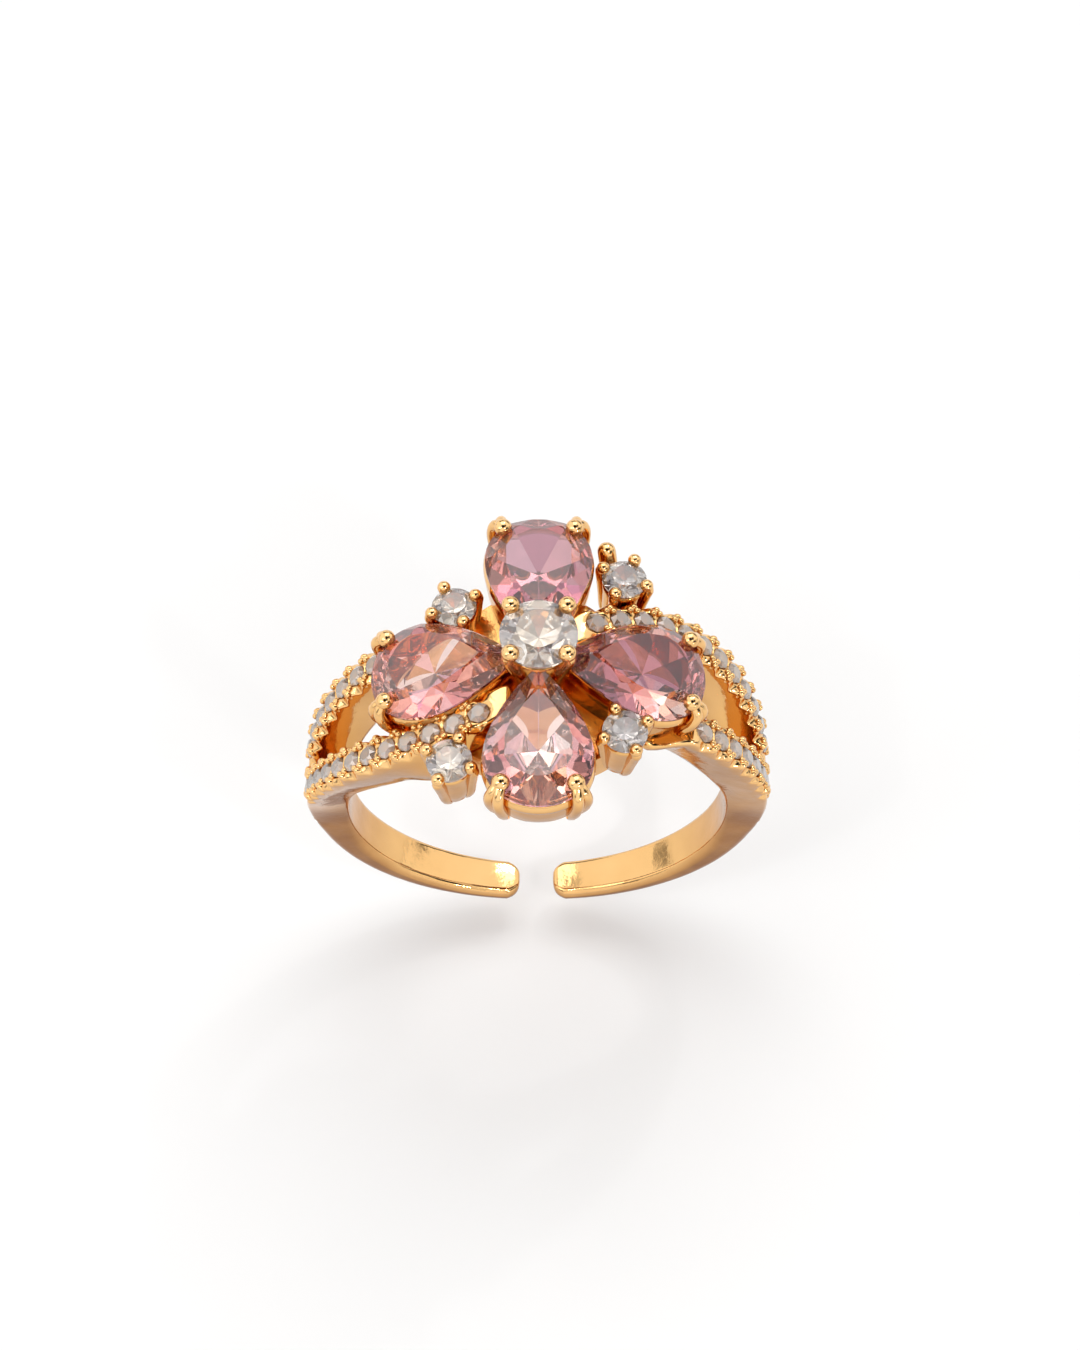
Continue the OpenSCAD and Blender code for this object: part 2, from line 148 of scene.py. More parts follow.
def side_y(a):
    return -SIDE_START - SIDE_SPREAD * sin(90 * a / SIDE_QUARTER)


def shoulder_edges(a):
    """Front and back edge of the band at angle a. Above the plain arm they run on into the branches."""
    rise = SPLIT_A + BEND_A
    t = max(0.0, (a + BEND_A) / rise)
    plain = mix(TIP_W, BAND_W, min(1.0, cos(a) + 0.12)) / 2
    return [
        mix(start, mid(SPLIT_A) + side * BRANCH_W / 2, ease(t))
        + (mid(SPLIT_A + 0.5) - mid(SPLIT_A - 0.5)) * rise * t**2 * (t - 1)
        for mid, side, start in ((side_y, -1, -plain), (through_y, 1, plain))
    ]


def row_angles(mid, end):
    """Angles of the small stones along a branch with middle line mid, one pitch apart."""
    angles, a = [], SPLIT_A + FIRST_GAP
    while a <= end:
        angles.append(a)
        ahead = on_ring(a + 0.5, outer_at(a + 0.5), mid(a + 0.5))
        behind = on_ring(a - 0.5, outer_at(a - 0.5), mid(a - 0.5))
        a += PAVE_PITCH / (ahead - behind).length
    return angles


THROUGH_SEATS = [(a, through_y(a)) for a in row_angles(through_y, THROUGH_END - SEAT_SPAN)]
SIDE_SEATS = [(a, side_y(a)) for a in row_angles(side_y, SIDE_ROW_END)]
SHOULDER_ANGLES = [SPLIT_A - SHOULDER_GAP - SHOULDER_PITCH * i for i in (2, 1, 0)]
SHOULDER_SEATS = [(a, sum(shoulder_edges(a)) / 2) for a in SHOULDER_ANGLES]


def seat_matrix(a, y):
    """Frame at a small stone's seat, +Z out of the metal and +X down the band."""
    return Matrix.Translation(on_ring(a, outer_at(a), y)) @ turn_y(90 - a)


def petal_matrix(turn, reach, rise, tilt):
    """Frame of a petal stone: girdle in XY, point on +X, towards the centre of the flower."""
    return (
        turn_z(turn) @ move(reach, 0, FINGER_R + rise) @ turn_y(tilt)
        @ move(-PEAR_L / 2, 0, 0) @ HALF_TURN
    )


def accent_matrix(x, y, turn):
    out = math.degrees(math.atan2(y, x))
    return move(x, y, FINGER_R + ACCENT_RISE) @ turn_z(out) @ turn_y(ACCENT_LEAN) @ turn_z(turn - out)


# ------------------------------------------------------------------ mesh building


HOLE_MARGIN = 0.03
SPAN_STEPS, WIRE_SIDES = 6, 14
DOME = (0, 20, 40, 62, 82)  # latitudes of the loops that round off a wire's end


class Shape:
    """Vertices and faces in millimetres, gathered before they become one mesh."""

    def __init__(self):
        self.points, self.faces = [], []

    def add(self, points, faces, matrix=None):
        base = len(self.points)
        self.points += [matrix @ Vector(p) if matrix else Vector(p) for p in points]
        self.faces += [[base + i for i in face] for face in faces]
        return self

    def merge(self, other, matrix=None):
        return self.add(other.points, other.faces, matrix)

    def clear_hole(self, matrix):
        """Pushes points out of the finger hole; matrix places the shape in the ring."""
        back = matrix.inverted()
        for i, point in enumerate(self.points):
            p = matrix @ point
            k = (FINGER_R + HOLE_MARGIN) / math.hypot(p.x, p.z)
            if k > 1:
                self.points[i] = back @ Vector((p.x * k, p.y, p.z * k))

    def build(self, name, material, matrix=None, smooth_below=None):
        """Makes the object; faces that meet at less than smooth_below degrees shade as one."""
        mesh = bpy.data.meshes.new(name)
        place = Matrix.Scale(MM, 4) @ (matrix or Matrix.Identity(4))
        mesh.from_pydata([place @ p for p in self.points], [], self.faces)
        bm = bmesh.new()
        bm.from_mesh(mesh)
        bmesh.ops.recalc_face_normals(bm, faces=bm.faces)
        bm.to_mesh(mesh)
        bm.free()
        if smooth_below:
            mesh.shade_smooth()
            mesh.set_sharp_from_angle(angle=math.radians(smooth_below))
        mesh.materials.append(material)
        obj = bpy.data.objects.new(name, mesh)
        bpy.context.scene.collection.objects.link(obj)
        return obj


def skin(loops, closed=False):
    """Faces between equal closed loops of points, with caps unless the loops themselves close."""
    shape, n = Shape(), len(loops[0])
    faces = []
    for k in range(len(loops) if closed else len(loops) - 1):
        here, there = k * n, (k + 1) % len(loops) * n
        faces += [
            [here + i, here + (i + 1) % n, there + (i + 1) % n, there + i] for i in range(n)
        ]
    if not closed:
        faces += [list(range(n))[::-1], [(len(loops) - 1) * n + i for i in range(n)]]
    return shape.add([p for loop in loops for p in loop], faces)


def circle(radius, z, sides, offset=0.0):
    """Points round Z; offset turns them by that share of one side."""
    turns = [360 * (i + offset) / sides for i in range(sides)]
    return [(radius * cos(t), radius * sin(t), z) for t in turns]


def ball(centre, radius, squash, rings, sides):
    """Closed round bead, flattened along Z by squash."""
    points = [(0, 0, -1), (0, 0, 1)]
    faces = []
    for k in range(1, rings):
        t = -90 + 180 * k / rings
        points += circle(cos(t), sin(t), sides)
    last = 2 + (rings - 2) * sides
    for i in range(sides):
        j = (i + 1) % sides
        faces.append([0, 2 + j, 2 + i])
        faces.append([1, last + i, last + j])
        for low in range(2, last, sides):
            high = low + sides
            faces.append([low + i, low + j, high + j, high + i])
    return Shape().add([Vector(centre) + radius * Vector((x, y, z * squash)) for x, y, z in points], faces)


def curve_through(points):
    """Catmull-Rom samples through points; each point is (position, radius)."""
    pts = [points[0], *points, points[-1]]
    out = []
    for k in range(1, len(pts) - 2):
        for i in range(SPAN_STEPS):
            t = i / SPAN_STEPS
            w = (
                -0.5 * t + t * t - 0.5 * t**3,
                1 - 2.5 * t * t + 1.5 * t**3,
                0.5 * t + 2 * t * t - 1.5 * t**3,
                -0.5 * t * t + 0.5 * t**3,
            )
            near = pts[k - 1 : k + 3]
            p = sum((Vector(q[0]) * x for q, x in zip(near, w)), Vector())
            out.append((p, sum(q[1] * x for q, x in zip(near, w))))
    out.append((Vector(points[-1][0]), points[-1][1]))
    return out


def wire(points):
    """Round wire through (position, radius) points, with domed ends."""
    samples = curve_through(points)
    side = (samples[1][0] - samples[0][0]).orthogonal().normalized()
    turns = [360 * k / WIRE_SIDES for k in range(WIRE_SIDES)]
    loops = []
    for i, (p, r) in enumerate(samples):
        ahead = samples[min(i + 1, len(samples) - 1)][0] - samples[max(i - 1, 0)][0]
        ahead.normalize()
        side = (side - ahead * side.dot(ahead)).normalized()
        other = ahead.cross(side)
        ring = [side * cos(t) + other * sin(t) for t in turns]
        dome = [0]
        if i == 0:
            dome = [-t for t in reversed(DOME)]
        if i == len(samples) - 1:
            dome = DOME
        loops += [[p + (ahead * sin(t) + d * cos(t)) * r for d in ring] for t in dome]
    return skin(loops)


def lathe(profile, sides=40):
    """Solid of revolution about Z; profile is a closed list of (radius, z)."""
    turns = [360 * k / sides for k in range(sides)]
    return skin([[(r * cos(t), r * sin(t), z) for r, z in profile] for t in turns], closed=True)


# ------------------------------------------------------------------ materials


def node_material(name):
    material = bpy.data.materials.new(name)
    material.use_nodes = True
    nodes, links = material.node_tree.nodes, material.node_tree.links
    return material, nodes, links, nodes["Principled BSDF"]


def noise(nodes, links, scale, detail=3.0, seed=0.0):
    """Noise over the piece's own coordinates; scale is in features per millimetre."""
    place = nodes.new("ShaderNodeTexCoord")
    shift = nodes.new("ShaderNodeMapping")
    shift.inputs["Location"].default_value = (seed, seed * 0.7, -seed)
    texture = nodes.new("ShaderNodeTexNoise")
    texture.inputs["Scale"].default_value = scale / MM
    texture.inputs["Detail"].default_value = detail
    links.new(place.outputs["Object"], shift.inputs["Vector"])
    links.new(shift.outputs["Vector"], texture.inputs["Vector"])
    return texture.outputs["Fac"]


def ramp(nodes, links, source, *stops):
    """Colour ramp of (position, colour) stops."""
    node = nodes.new("ShaderNodeValToRGB")
    for element, (at, colour) in zip(node.color_ramp.elements, (stops[0], stops[-1])):
        element.position, element.color = at, (*colour, 1)
    for at, colour in stops[1:-1]:
        node.color_ramp.elements.new(at).color = (*colour, 1)
    links.new(source, node.inputs["Fac"])
    return node.outputs["Color"]


def remap(nodes, links, source, low, high):
    """Moves a value that runs from 0 to 1 onto low..high."""
    node = nodes.new("ShaderNodeMapRange")
    node.inputs["To Min"].default_value, node.inputs["To Max"].default_value = low, high
    links.new(source, node.inputs["Value"])
    return node.outputs["Result"]


def bump(nodes, links, source, depth, strength):
    node = nodes.new("ShaderNodeBump")
    node.inputs["Distance"].default_value = depth * MM
    node.inputs["Strength"].default_value = strength
    links.new(source, node.inputs["Height"])
    return node.outputs["Normal"]


def height_of(nodes, links, output):
    """Z of the piece's own coordinates, as a position ("Object") or as its surface's direction ("Normal")."""
    place, split = nodes.new("ShaderNodeTexCoord"), nodes.new("ShaderNodeSeparateXYZ")
    links.new(place.outputs[output], split.inputs["Vector"])
    return split.outputs["Z"]


def smooth_step(nodes, links, source, start, end, low, high):
    """Eases from low to high while source runs from start to end."""
    node = nodes.new("ShaderNodeMapRange")
    node.interpolation_type = "SMOOTHSTEP"
    for name, value in (("From Min", start), ("From Max", end), ("To Min", low), ("To Max", high)):
        node.inputs[name].default_value = value
    links.new(source, node.inputs["Value"])
    return node.outputs["Result"]


def plus(nodes, links, a, b):
    node = nodes.new("ShaderNodeMath")
    node.operation = "ADD"
    links.new(a, node.inputs[0])
    links.new(b, node.inputs[1])
    return node.outputs["Value"]


# Plating colour with painted shade, from undersides (0), painted darkest, to surfaces that face up (1)
GOLD_SHADED_TONES = (
    (0.15, (0.22, 0.10, 0.04)), (0.44, (0.33, 0.15, 0.06)), (0.60, (0.64, 0.34, 0.13)),
    (0.78, (0.87, 0.52, 0.21)), (1.0, (0.97, 0.62, 0.28)),
)
# Painted shade in creases: the darker gold mixed in there, and how far the occlusion looks, in mm
CREASE_SHADE_GOLD, CREASE_SHADE_REACH = (0.74, 0.37, 0.09), 2.2
LOW_ON_BAND, HIGH_ON_BAND = -0.8, 1.6  # heights between which the painted shade low on the band fades and the plating gets its full tone


def gold_material(name, rough, grain):
    """Polished gold plating with painted shade: browner on walls and undersides, low on the band and in
    creases.
    """
    material, nodes, links, shader = node_material(name)
    shader.inputs["Metallic"].default_value = 1.0
    # Painted shade: surfaces that face down get darker plating, surfaces that face up lighter
    upward = smooth_step(nodes, links, height_of(nodes, links, "Normal"), -1, 1, 0, 1)
    facing_shade = remap(nodes, links, upward, 0.12, 0.82)
    height = height_of(nodes, links, "Object")
    # Painted shade: the plating is made darker lower on the band
    height_shade = smooth_step(nodes, links, height, LOW_ON_BAND * MM, HIGH_ON_BAND * MM, 0.0, 0.18)
    patches = remap(nodes, links, noise(nodes, links, 0.5), -0.09, 0.09)
    # Painted shade from facing and height, plus random tone patches of the plating
    tone = plus(nodes, links, plus(nodes, links, facing_shade, height_shade), patches)
    # Painted shade in creases: ambient occlusion mixes the darker, redder gold into recesses and between parts
    crease_shade = nodes.new("ShaderNodeAmbientOcclusion")
    crease_shade.samples = 6
    crease_shade.inputs["Distance"].default_value = CREASE_SHADE_REACH * MM
    depth = nodes.new("ShaderNodeMix")
    depth.data_type = "RGBA"
    depth.inputs["A"].default_value = (*CREASE_SHADE_GOLD, 1)
    links.new(crease_shade.outputs["AO"], depth.inputs["Factor"])
    links.new(ramp(nodes, links, tone, *GOLD_SHADED_TONES), depth.inputs["B"])
    links.new(depth.outputs["Result"], shader.inputs["Base Color"])
    wear = noise(nodes, links, 2.6, detail=5.0, seed=3.0)
    links.new(remap(nodes, links, wear, *rough), shader.inputs["Roughness"])
    skin_grain = noise(nodes, links, grain, detail=4.0, seed=7.0)
    links.new(bump(nodes, links, skin_grain, depth=0.06, strength=0.45), shader.inputs["Normal"])
    return material


def gem_material(name, colours, ior, clarity):
    """Faceted transparent stone. Each facet is painted its own lightness, from painted shade to a painted
    glint, standing in for the flashes that dispersion and reflections give the real one; the hue is the stone's
    own.
    """
    material, nodes, links, shader = node_material(name)
    shader.inputs["Transmission Weight"].default_value = clarity
    shader.inputs["IOR"].default_value = ior
    shader.inputs["Specular IOR Level"].default_value = 0.5
    facet = nodes.new("ShaderNodeAttribute")
    facet.attribute_name = "facet_light"
    # Painted light on the facets: each facet's stored value picks a colour from painted shade to painted glint
    links.new(ramp(nodes, links, facet.outputs["Fac"], *colours), shader.inputs["Base Color"])
    smears = noise(nodes, links, 1.5, detail=4.0, seed=5.0)
    links.new(remap(nodes, links, smears, 0.0, 0.03), shader.inputs["Roughness"])
    return material


GOLD = gold_material("polished_gold", rough=(0.05, 0.16), grain=1.2)
CAST_GOLD = gold_material("cast_gold", rough=(0.16, 0.32), grain=3.2)
# Stone colours, from a facet in painted shade (0) to a painted glint (1)
PINK = gem_material(
    "pink_stone",
    (
        (0.0, (0.34, 0.11, 0.18)), (0.2, (0.84, 0.27, 0.29)), (0.55, (1.0, 0.34, 0.31)),
        (0.85, (1.0, 0.47, 0.31)), (1.0, (1.0, 0.80, 0.75)),
    ),
    ior=1.9, clarity=0.95,
)
CLEAR = gem_material(
    "clear_stone",
    (
        (0.0, (0.34, 0.31, 0.33)), (0.35, (0.82, 0.75, 0.70)),
        (0.8, (1.0, 0.84, 0.64)), (1.0, (1.0, 0.98, 0.96)),
    ),
    ior=2.1, clarity=0.85,
)
SMALL_CLEAR = gem_material(
    "small_clear_stone",
    (
        (0.0, (0.36, 0.31, 0.28)), (0.3, (0.80, 0.70, 0.61)),
        (0.7, (1.0, 0.89, 0.76)), (1.0, (1.0, 1.0, 1.0)),
    ),
    ior=2.3, clarity=0.6,
)

# ------------------------------------------------------------------ band and branches

SEAT_R, SEAT_RIM, SEAT_RUN, SEAT_DEPTH = PAVE_D / 2 + 0.01, 0.07, 0.06, 0.40
# U cut in the edge beside each stone. CUT_IN and CUT_OUT say where, from the row's middle, it starts to deepen
# and starts to fade, and over how far
CUT_DEPTH, CUT_HALF, CUT_IN, CUT_OUT = 0.28, 0.25, (0.42, 0.35), (0.85, 0.3)
CORNER_R, ARM_CORNER_R = 0.20, 0.42
INNER_R, ARM_INNER_R = 0.18, 0.36
TIP_CORNER_R, TIP_EDGE_R, TIP_CORNER_TOP = 0.75, 0.2, 0.26
TIP_MID_R = FINGER_R + 0.4
TIP_STEPS, TIP_LENGTH = (0, 0.02, 0.06, 0.12, 0.2, 0.32, 0.46), 0.6
BRANCH_END_R = 0.6
STEP_LEAD, STEP_RUN = 4.0, 9.0  # degrees that the step down starts early, and that it takes
WALL_TOP = 0.62  # below the outer surface, where the plain wall under the beads begins
WALL_LEAN = 0.15  # how far in the walls that face between the branches lean at their foot
LONG_LEAN, SHORT_LEAN, SHORT_END_LEAN = 0.52, 0.4, 0.7
LEAN_RUN = 30.0  # degrees that the outer walls take to lean in fully
COLUMNS = 22  # across the outer surface of a cross-section
CORNER_SHARES = (0, 0.06, 0.18, 0.4, 0.7, 1)
INNER_SHARES = (0, 0.45, 0.8, 1)
FINE, COARSE = 0.42, 2.0  # degrees from one cross-section to the next
COARSE_TO, FINE_FROM = -16.0, -15.6
# Two beads and a pillar beside each gap: along the row, out from its middle, up, radius, squash
BEADS = ((-0.16, 0.46, 0.03, 0.16, 0.95), (0.17, 0.49, 0.03, 0.15, 0.95), (0.01, 0.645, -0.12, 0.21, 1.4))


def round_drop(distance, radius):
    """How far a rounded edge of that radius drops at a distance in from the edge."""
    inside = max(radius - max(distance, 0.0), 0.0)
    return radius - math.sqrt(max(radius**2 - inside**2, 0.0))


def seat_height(a, y, seats):
    """Height of the stone-set surface over the outer surface: cone seats, and U cuts beside each stone."""
    reach = outer_at(a)
    along, across = min(
        ((math.radians(a - sa) * reach, y - sy) for sa, sy in seats), key=lambda v: v[0] ** 2 + v[1] ** 2
    )
    d, beside = math.hypot(along, across), abs(across)
    if d < SEAT_R:
        seat = SEAT_RIM + SEAT_DEPTH * (1 - d / SEAT_R)
    else:
        seat = SEAT_RIM * max(0.0, 1 - (d - SEAT_R) / SEAT_RUN)
    cut = ease((beside - CUT_IN[0]) / CUT_IN[1]) * (1 - ease((beside - CUT_OUT[0]) / CUT_OUT[1]))
    return -seat - CUT_DEPTH * cut * math.exp(-((along / CUT_HALF) ** 2))


def band_loop(a, lo, hi, corner, height, inset=0.0, sink=0.0, drafts=(0.0, 0.0)):
    """Closed cross-section of the band at angle a: outer surface, front wall, inner surface, back wall."""
    outer, inner = outer_at(a) - inset - sink, FINGER_R + inset
    ys = [hi - corner * q for q in CORNER_SHARES]
    ys += [mix(hi - corner, lo + corner, k / COLUMNS) for k in range(1, COLUMNS)]
    ys += [lo + corner * q for q in reversed(CORNER_SHARES)]
    loop = []
    for y in ys:
        drop = round_drop(min(hi - y, y - lo), corner)
        loop.append(on_ring(a, outer + height(a, y) - drop, y))
    low, high = lo + drafts[0], hi - drafts[1]
    depth = outer - corner - inner
    small = min(mix(ARM_INNER_R, INNER_R, ease((a + 25) / 25)), (high - low) / 4, 0.8 * depth)
    shelf = outer - corner - min(WALL_TOP - corner, 0.3 * (depth - small))
    foot = inner + small
    wall = [(shelf, 0.08), (mix(shelf, foot, 0.08), 0.13), (mix(shelf, foot, 0.5), 0.45)]
    inside = [(inner + round_drop(small * q, small), small * q) for q in INNER_SHARES]
    loop += [on_ring(a, r, lo + drafts[0] * q) for r, q in wall]
    loop += [on_ring(a, r, low + y) for r, y in inside]
    loop += [on_ring(a, r, high - y) for r, y in reversed(inside)]
    loop += [on_ring(a, r, hi - drafts[1] * q) for r, q in reversed(wall)]
    return loop


def flat(a, y):
    """Height of a plain outer surface."""
    return 0.0


def angles_between(a0, a1, step):
    count = max(1, math.ceil(abs(a1 - a0) / step))
    return [mix(a0, a1, i / count) for i in range(count + 1)]


def through_drafts(a):
    """Lean of a long branch's front and back wall."""
    return WALL_LEAN, LONG_LEAN * ease((a + BEND_A) / LEAN_RUN) * (1 - ease((a - 48) / 16))


def side_drafts(a):
    """Lean of a short branch's front and back wall."""
    return SHORT_LEAN * ease((a + BEND_A) / LEAN_RUN) + SHORT_END_LEAN * ease((a - 20) / 40), WALL_LEAN


def branch_shape(mid, end, seats, drafts, step):
    """A stone-set branch from the split to its rounded end, sunk to the gallery's height beyond angle step."""

    def height(a, y):
        return seat_height(a, y, seats)

    loops = []
    for a in angles_between(SPLIT_A, end, FINE):
        y = mid(a)
        sink = (outer_at(a) - GALLERY_R) * ease((a - step + STEP_LEAD) / STEP_RUN)
        half = BRANCH_W / 2 - round_drop(math.radians(end - a) * GALLERY_R, BRANCH_END_R) * 0.8
        loops.append(band_loop(a, y - half, y + half, CORNER_R, height, sink=sink, drafts=drafts(a)))
    return skin(loops)


def bead_shape(seats):
    """Raised beads on each side of every gap between the stones of a row, and a pillar down the edge."""
    shape = Shape()
    for (a0, y0), (a1, y1) in zip(seats, seats[1:]):
        place = seat_matrix((a0 + a1) / 2, (y0 + y1) / 2)
        for side in (-1, 1):
            for along, out, up, radius, squash in BEADS:
                shape.merge(ball((along, side * out, up), radius, squash, rings=10, sides=18), place)
    return shape


def band_shape():
    """The right arm and shoulder in one piece, from the tip up to the split."""
    root_seats = SHOULDER_SEATS + [THROUGH_SEATS[0], SIDE_SEATS[0]]

    def height(a, y):
        return seat_height(a, y, root_seats) * ease((a + 12.5) / 6)

    tip_a = -90 + math.degrees(math.asin(TIP_GAP / 2 / TIP_MID_R))
    loops = []
    for s in TIP_STEPS:
        a = tip_a + math.degrees(s / TIP_MID_R)
        half = shoulder_edges(a)[1] - round_drop(s, TIP_CORNER_R)
        corner = min(ARM_CORNER_R, TIP_CORNER_TOP + s)
        loops.append(band_loop(a, -half, half, corner, flat, inset=round_drop(s, TIP_EDGE_R)))
    for a in angles_between(tip_a + math.degrees(TIP_LENGTH / TIP_MID_R), COARSE_TO, COARSE):
        loops.append(band_loop(a, *shoulder_edges(a), ARM_CORNER_R, flat))
    for a in angles_between(FINE_FROM, SPLIT_A, FINE):
        corner = mix(ARM_CORNER_R, CORNER_R, ease((a + 14) / 12))
        drafts = (side_drafts(a)[0], through_drafts(a)[1])
        loops.append(band_loop(a, *shoulder_edges(a), corner, height, drafts=drafts))
    return skin(loops)


def pave_shape(seats):
    """The small stones of a row: a flat table, eight crown facets and a pointed pavilion."""
    r, n = PAVE_D / 2, 8
    points = circle(0.58 * r, 0.17 * PAVE_D, n, offset=0.5) + circle(r, 0.02, n) + circle(r, -0.02, n)
    points.append((0, 0, -0.43 * PAVE_D))
    faces = [list(range(n))]
    for i in range(n):
        j = (i + 1) % n
        faces += [[i, n + i, n + j], [i, n + j, j]]
        faces += [[n + i, 2 * n + i, 2 * n + j, n + j], [2 * n + i, 3 * n, 2 * n + j]]
    shape = Shape()
    for a, y in seats:
        shape.add(points, faces, seat_matrix(a, y) @ move(0, 0, -PAVE_SINK))
    return shape


# ------------------------------------------------------------------ settings


CLAW_T = 146.0  # where a claw crosses a petal stone's outline
CLAW_HEAD = Vector((-2.55, 1.60, 0.58))


def pear_at(t, grow=0.0, z=0.0):
    """Outline of a pear stone: t = 0 is the point, on +X, and t = 180 the round end."""
    k = 1 + 2 * grow / PEAR_W
    return Vector((k * PEAR_L / 2 * cos(t), k * PEAR_W / 2 / 0.77 * sin(t) * sin(abs(t) / 2), z))


def collet_shape():
    """Wall under a petal stone: a rounded seat rail at the top, a taper and a rounded foot."""
    rail = [(-0.34, -0.36), (-0.18, -0.22), (-0.07, -0.13), (-0.01, -0.12), (0.02, -0.17), (0.05, -0.30)]
    taper = [
        (0.08, -0.44), (0.07, -0.58), (0.02, -0.70), (0.01, -0.82), (0.00, -1.10), (-0.04, -1.45),
        (-0.08, -1.75), (-0.12, -1.95),
    ]
    foot = [(-0.19, -2.06), (-0.27, -COLLET_DEPTH), (-0.46, -COLLET_DEPTH), (-0.53, -1.98)]
    inside = [(-0.54, -1.30), (-0.50, -0.74)]
    turns = [-180 + 5 * i for i in range(72)]
    return skin([[pear_at(t, *w) for w in rail + taper + foot + inside] for t in turns], closed=True)


def claw_shape(side):
    """One double-strand claw: two wires up the collet that meet under a round head over the stone's edge."""
    ahead = (pear_at(CLAW_T + 1) - pear_at(CLAW_T - 1)).normalized()
    out = Vector((ahead.y, -ahead.x, 0))
    if out.x > 0:
        out = -out
    edge = pear_at(CLAW_T)

    def at(outward, along, z):
        p = edge + out * outward + ahead * along
        return Vector((p.x, p.y * side, z))

    head = Vector((CLAW_HEAD.x, CLAW_HEAD.y * side, CLAW_HEAD.z))
    shape = Shape()
    for s in (-1, 1):
        shape.merge(wire([
            (at(-0.22, s * 0.20, -COLLET_DEPTH - 0.10), 0.20),
            (at(0.02, s * 0.25, -1.60), 0.25),
            (at(0.22, s * 0.27, -0.95), 0.265),
            (at(0.34, s * 0.25, -0.25), 0.26),
            (at(0.22, s * 0.17, 0.28), 0.26),
            (head, 0.27),
        ]))
    shape.merge(ball(head, CLAW_R, 0.92, rings=14, sides=24))
    return shape


def petal_setting_shape():
    shape = collet_shape()
    for side in (-1, 1):
        shape.merge(claw_shape(side))
    return shape


def four_claws(strand, radius, squash, rings, sides):
    """Four claws at the corners of a square; strand lists (half the square's side, height, radius) going up."""
    shape = Shape()
    for x in (-1, 1):
        for y in (-1, 1):
            shape.merge(wire([(Vector((x * out, y * out, z)), r) for out, z, r in strand]))
            out, z, _ = strand[-1]
            shape.merge(ball((x * out, y * out, z), radius, squash, rings, sides))
    return shape


def accent_setting_shape():
    """A solid cup with four claws that spread round the stone."""
    shape = lathe([
        (0.02, -ACCENT_DEPTH + 0.02), (0.24, -ACCENT_DEPTH), (0.42, -3.28), (0.58, -3.05), (0.74, -2.65),
        (0.84, -2.1), (0.89, -1.4), (0.93, -0.70), (0.96, -0.45), (0.96, -0.32), (0.91, -0.25),
        (0.82, -0.25), (0.72, -0.36), (0.40, -0.80), (0.02, -1.10),
    ])
    strand = [
        (0.30, -ACCENT_DEPTH + 0.20, 0.18), (0.54, -2.4, 0.24), (0.66, -1.4, 0.24),
        (0.78, -0.45, 0.24), (0.84, -0.05, 0.23), (ACCENT_OUT, 0.20, 0.24),
    ]
    return shape.merge(four_claws(strand, ACCENT_CLAW_R, 0.95, rings=12, sides=20))


# Round bars on the accents' cups: the bridge to a long branch, and the stay at the back right
BRIDGE = [(Vector((3.75, 4.4, 9.2)), 0.45), (Vector((3.55, 3.4, 9.2)), 0.45)]
STAY = [
    (Vector((3.35, 4.9, 9.0)), 0.38), (Vector((3.22, 5.5, 10.1)), 0.41), (Vector((3.05, 6.2, 11.15)), 0.42),
]


def centre_setting_shape():
    """A hollow post on the gallery, a seat ring and four claws."""
    z, foot = FINGER_R + CENTRE_RISE, 10.15
    shape = lathe([
        (0.35, z - 2.15), (0.35, foot), (0.95, foot), (1.02, 10.5),
        (1.06, 11.2), (1.12, z - 2.35), (1.10, z - 2.2), (1.0, z - 2.15),
    ])
    shape.merge(lathe([
        (1.10, z - 0.66), (1.16, z - 0.60), (1.32, z - 0.60), (1.42, z - 0.66),
        (1.44, z - 0.76), (1.36, z - 0.88), (1.20, z - 0.90), (1.12, z - 0.80),
    ], sides=56))
    strand = [
        (0.66, z - 2.9, 0.34), (0.86, z - 1.9, 0.31), (1.14, z - 0.75, 0.30),
        (1.32, z + 0.05, 0.29), (1.22, z + 0.42, 0.30),
    ]
    return shape.merge(four_claws(strand, CLAW_R, 0.92, rings=14, sides=24))


# ------------------------------------------------------------------ gems


GIRDLE = 0.05  # half the thickness of a stone's edge
OUTLINE_SIDES = 72


class Gem:
    """A convex stone cut from its outline by planes, all in its own frame with the girdle in XY."""

    def __init__(self, outline, top, bottom):
        self.bm = bmesh.new()
        rings = [[self.bm.verts.new((p.x, p.y, z)) for p in outline] for z in (bottom, top)]
        self.bm.faces.new(rings[0][::-1])
        self.bm.faces.new(rings[1])
        n = len(outline)
        for i in range(n):
            self.bm.faces.new((rings[0][i], rings[0][(i + 1) % n], rings[1][(i + 1) % n], rings[1][i]))

    def cut(self, point, normal):
        """Grinds away everything beyond the plane and closes the cut with one facet."""
        geometry = self.bm.verts[:] + self.bm.edges[:] + self.bm.faces[:]
        cut = bmesh.ops.bisect_plane(
            self.bm, geom=geometry, plane_co=point, plane_no=normal, clear_outer=True, dist=1e-4
        )
        edges = [e for e in cut["geom_cut"] if isinstance(e, bmesh.types.BMEdge) and e.is_boundary]
        if len(edges) > 2:
            bmesh.ops.contextual_create(self.bm, geom=edges)

    def shape(self):
        bmesh.ops.remove_doubles(self.bm, verts=self.bm.verts, dist=0.012)
        bmesh.ops.dissolve_degenerate(self.bm, edges=self.bm.edges, dist=0.004)
        self.bm.verts.index_update()
        faces = [[v.index for v in face.verts] for face in self.bm.faces]
        made = Shape().add([v.co.copy() for v in self.bm.verts], faces)
        self.bm.free()
        return made


def facet(gem, edge, along, inner, z):
    """Cuts the plane through edge, raised to z, that holds the direction along and the point inner."""
    base = Vector((edge.x, edge.y, z))
    normal = along.cross(inner - base).normalized()
    gem.cut(base, normal if normal.dot(Vector((edge.x, edge.y, 0))) > 0 else -normal)


